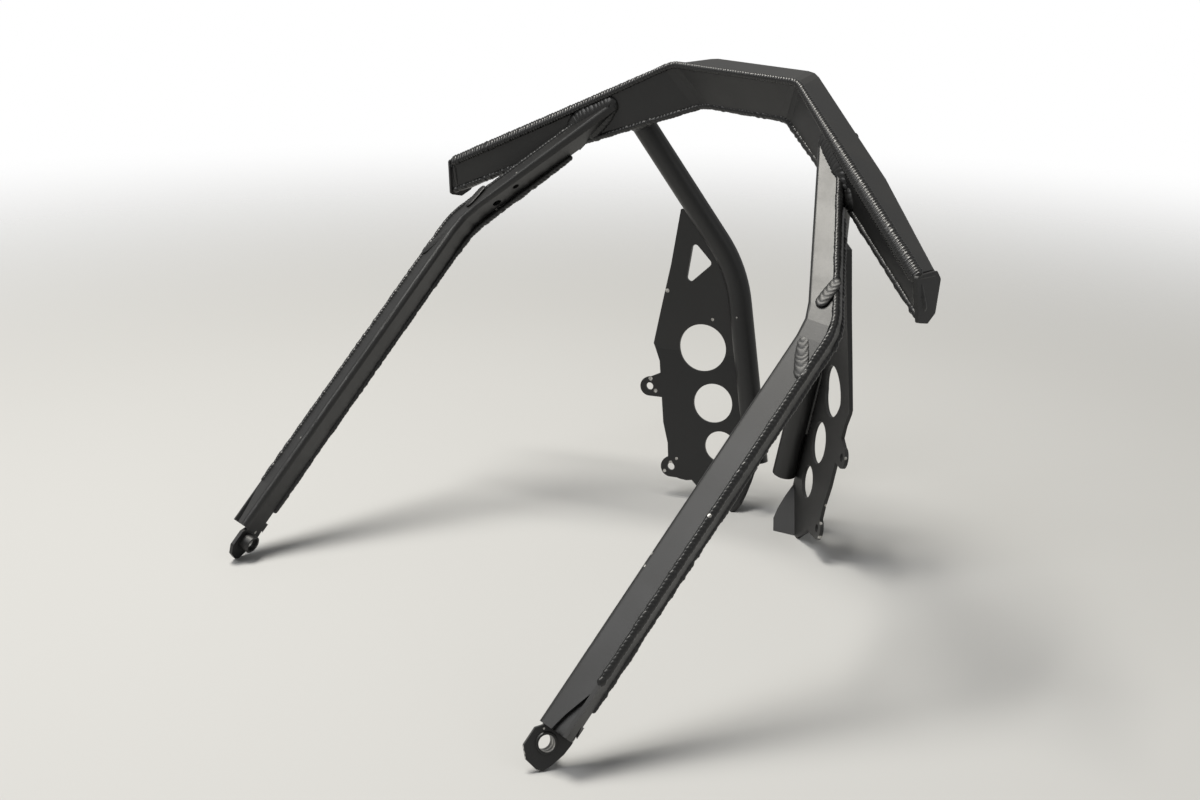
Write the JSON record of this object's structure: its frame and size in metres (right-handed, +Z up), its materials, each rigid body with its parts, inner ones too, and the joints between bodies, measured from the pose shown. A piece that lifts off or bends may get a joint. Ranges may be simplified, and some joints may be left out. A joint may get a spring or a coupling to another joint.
{
  "type": "snowmobile front bumper",
  "caption": "Welded front bumper for a snowmobile: a bent box-section bow with swept wings, two kinked arms with bolt feet, bent tubes and lightened side plates.",
  "frame": {"origin": "centre of the bounding box, on the plane that the feet and flanges rest on", "axes": "+X to the sled's right, +Y forward, +Z up"},
  "size_m": [0.5862, 0.4699, 0.4312],
  "materials": {
    "coated_sheet": "matte black powder coat",
    "coated_weld": "satin black powder coat"
  },
  "bodies": {
    "root": {"arm_front_weld_left": "coated_weld", "arm_front_weld_right": "coated_weld", "arm_rear_weld_left": "coated_weld", "arm_rear_weld_right": "coated_weld", "arm_sheet_left": "coated_sheet", "arm_sheet_right": "coated_sheet", "bow_cap_left": "coated_sheet", "bow_cap_right": "coated_sheet", "bow_lower_weld": "coated_weld", "bow_rear_weld": "coated_weld", "bow_skin": "coated_sheet", "bow_web": "coated_sheet", "closing_strip_left": "coated_sheet", "closing_strip_right": "coated_sheet", "knee_lower_weld_left": "coated_weld", "knee_lower_weld_right": "coated_weld", "knee_plate_left": "coated_sheet", "knee_plate_right": "coated_sheet", "knee_upper_weld_left": "coated_weld", "knee_upper_weld_right": "coated_weld", "side_plate_left": "coated_sheet", "side_plate_right": "coated_sheet", "tube_left": "coated_sheet", "tube_right": "coated_sheet"}
  },
  "joints": []
}
